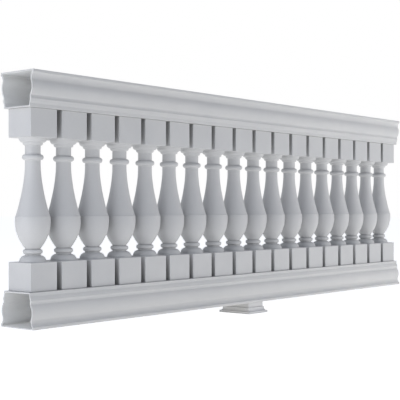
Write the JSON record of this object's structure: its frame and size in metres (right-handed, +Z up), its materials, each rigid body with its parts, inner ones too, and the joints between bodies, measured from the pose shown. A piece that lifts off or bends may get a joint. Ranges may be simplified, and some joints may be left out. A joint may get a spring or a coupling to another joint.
{
  "type": "fiberglass balustrade section",
  "caption": "Classical balustrade section: square-ended turned balusters between two hollow moulded rails, on a centre foot, open at both ends.",
  "frame": {"origin": "centre of the foot's underside, at mid-length", "axes": "+X along the rails, +Y across them, +Z up"},
  "size_m": [2.7432, 0.1862, 0.9971],
  "materials": {
    "rail_gelcoat": "satin white gelcoat on glass-fibre laminate",
    "baluster_gelcoat": "satin white gelcoat on glass-fibre laminate",
    "foot_gelcoat": "satin white gelcoat on glass-fibre laminate"
  },
  "bodies": {
    "root": {"top_rail": "rail_gelcoat", "bottom_rail": "rail_gelcoat", "centre_foot": "foot_gelcoat", "baluster_01": "baluster_gelcoat", "baluster_02": "baluster_gelcoat", "baluster_03": "baluster_gelcoat", "baluster_04": "baluster_gelcoat", "baluster_05": "baluster_gelcoat", "baluster_06": "baluster_gelcoat", "baluster_07": "baluster_gelcoat", "baluster_08": "baluster_gelcoat", "baluster_09": "baluster_gelcoat", "baluster_10": "baluster_gelcoat", "baluster_11": "baluster_gelcoat", "baluster_12": "baluster_gelcoat", "baluster_13": "baluster_gelcoat", "baluster_14": "baluster_gelcoat", "baluster_15": "baluster_gelcoat", "baluster_16": "baluster_gelcoat", "baluster_17": "baluster_gelcoat", "baluster_18": "baluster_gelcoat"}
  },
  "joints": []
}
